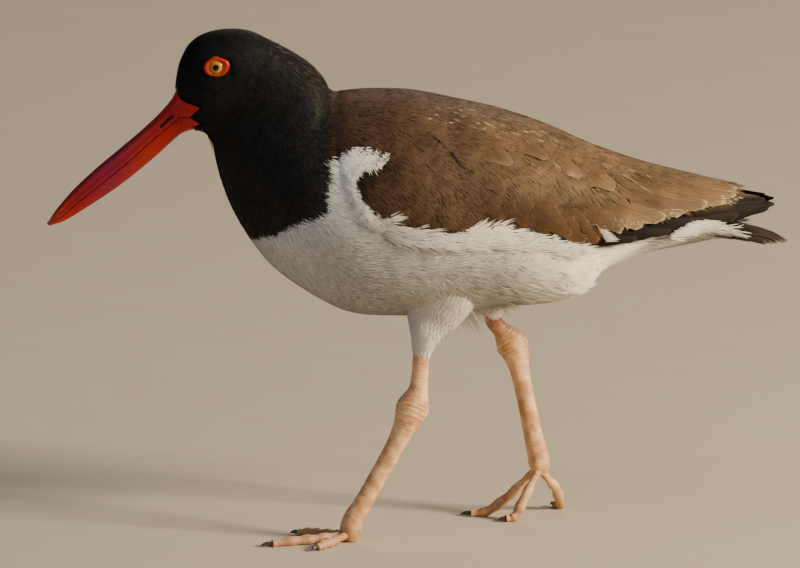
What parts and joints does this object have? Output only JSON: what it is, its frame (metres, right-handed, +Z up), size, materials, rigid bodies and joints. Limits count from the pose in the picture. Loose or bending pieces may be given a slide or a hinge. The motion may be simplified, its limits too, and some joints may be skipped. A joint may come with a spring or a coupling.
{
  "type": "oystercatcher",
  "caption": "Life-size still model of a walking wader with a long blade-like bill, black head, brown back and wings, white underside and bare pink legs.",
  "frame": {"origin": "on the floor, at the middle of the bird's length and width", "axes": "+X from bill to tail, +Y to the bird's right, +Z up"},
  "size_m": [0.3504, 0.1022, 0.2419],
  "materials": {
    "black_plumage": "matte black feathers with a faint brown sheen",
    "white_plumage": "soft matte white feathers",
    "brown_plumage": "warm brown feathers with pale fringes and dark long feathers",
    "bill_horn": "satin red-orange horn",
    "iris": "clear wet eye with a yellow iris and a small black pupil",
    "eye_ring": "smooth red-orange skin",
    "leg_scales": "pale pink scaled skin",
    "claw_horn": "dark horn"
  },
  "bodies": {
    "root": {"bill_lower": "bill_horn", "bill_upper": "bill_horn", "claw_left_inner": "claw_horn", "claw_left_middle": "claw_horn", "claw_left_outer": "claw_horn", "claw_right_inner": "claw_horn", "claw_right_middle": "claw_horn", "claw_right_outer": "claw_horn", "eye_left": "iris", "eye_right": "iris", "eyelid_left": "eye_ring", "eyelid_right": "eye_ring", "head": "black_plumage", "mantle": "brown_plumage", "neck": "black_plumage", "shank_left": "leg_scales", "shank_right": "leg_scales", "tail": "brown_plumage", "tarsus_left": "leg_scales", "tarsus_right": "leg_scales", "thigh_left": "white_plumage", "thigh_right": "white_plumage", "toe_left_inner": "leg_scales", "toe_left_middle": "leg_scales", "toe_left_outer": "leg_scales", "toe_right_inner": "leg_scales", "toe_right_middle": "leg_scales", "toe_right_outer": "leg_scales", "torso": "white_plumage", "wing_left": "brown_plumage", "wing_right": "brown_plumage"}
  },
  "joints": []
}
